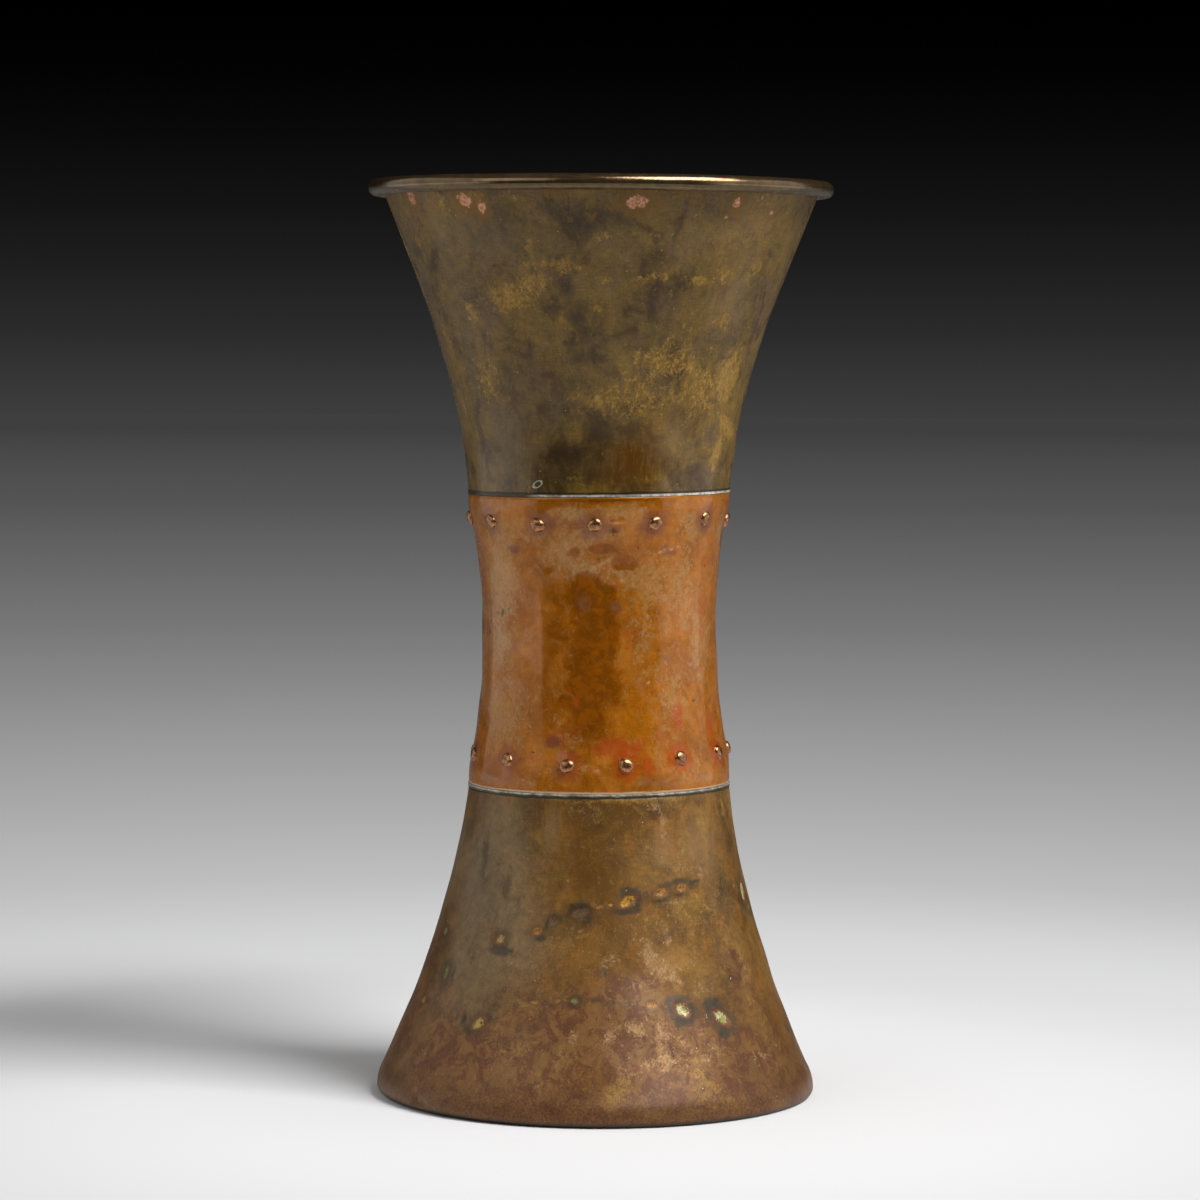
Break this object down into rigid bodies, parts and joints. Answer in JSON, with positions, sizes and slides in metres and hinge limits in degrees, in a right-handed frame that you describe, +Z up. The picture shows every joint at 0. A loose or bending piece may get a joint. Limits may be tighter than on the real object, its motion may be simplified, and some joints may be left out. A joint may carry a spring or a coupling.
{
  "type": "vase",
  "caption": "Waisted copper vase with flared mouth and foot, a riveted hollow-sided band at the waist and a rolled, wired rim.",
  "frame": {"origin": "centre of the flat face that the vase stands on", "axes": "+Z up along the vase's own axis, -Y towards the viewer of the picture (front), +X to the viewer's right"},
  "size_m": [0.1562, 0.1562, 0.305],
  "materials": {
    "patina_upper": "copper sheet under an olive brown patina, waxed to a low gloss",
    "patina_lower": "copper sheet under a red brown and olive patina with rows of small corroded pits, waxed to a low gloss",
    "copper_band": "copper sheet, cleaned and lightly oxidised, satin gloss",
    "copper_rivet": "domed copper rivet heads, rubbed bright",
    "floor_copper": "dull oxidised copper sheet",
    "wire": "oxidised copper wire, hidden in the rolled rim",
    "solder": "tin solder, rubbed bright where it shows"
  },
  "bodies": {
    "root": {"upper_trumpet": "patina_upper", "rim_wire": "wire", "waist_band": "copper_band", "lower_trumpet": "patina_lower", "floor_disc": "floor_copper", "floor_solder": "solder", "upper_seam_solder": "solder", "lower_seam_solder": "solder", "rivet_upper_01": "copper_rivet", "rivet_upper_02": "copper_rivet", "rivet_upper_03": "copper_rivet", "rivet_upper_04": "copper_rivet", "rivet_upper_05": "copper_rivet", "rivet_upper_06": "copper_rivet", "rivet_upper_07": "copper_rivet", "rivet_upper_08": "copper_rivet", "rivet_upper_09": "copper_rivet", "rivet_upper_10": "copper_rivet", "rivet_upper_11": "copper_rivet", "rivet_upper_12": "copper_rivet", "rivet_upper_13": "copper_rivet", "rivet_lower_01": "copper_rivet", "rivet_lower_02": "copper_rivet", "rivet_lower_03": "copper_rivet", "rivet_lower_04": "copper_rivet", "rivet_lower_05": "copper_rivet", "rivet_lower_06": "copper_rivet", "rivet_lower_07": "copper_rivet", "rivet_lower_08": "copper_rivet", "rivet_lower_09": "copper_rivet", "rivet_lower_10": "copper_rivet", "rivet_lower_11": "copper_rivet", "rivet_lower_12": "copper_rivet", "rivet_lower_13": "copper_rivet"}
  },
  "joints": []
}
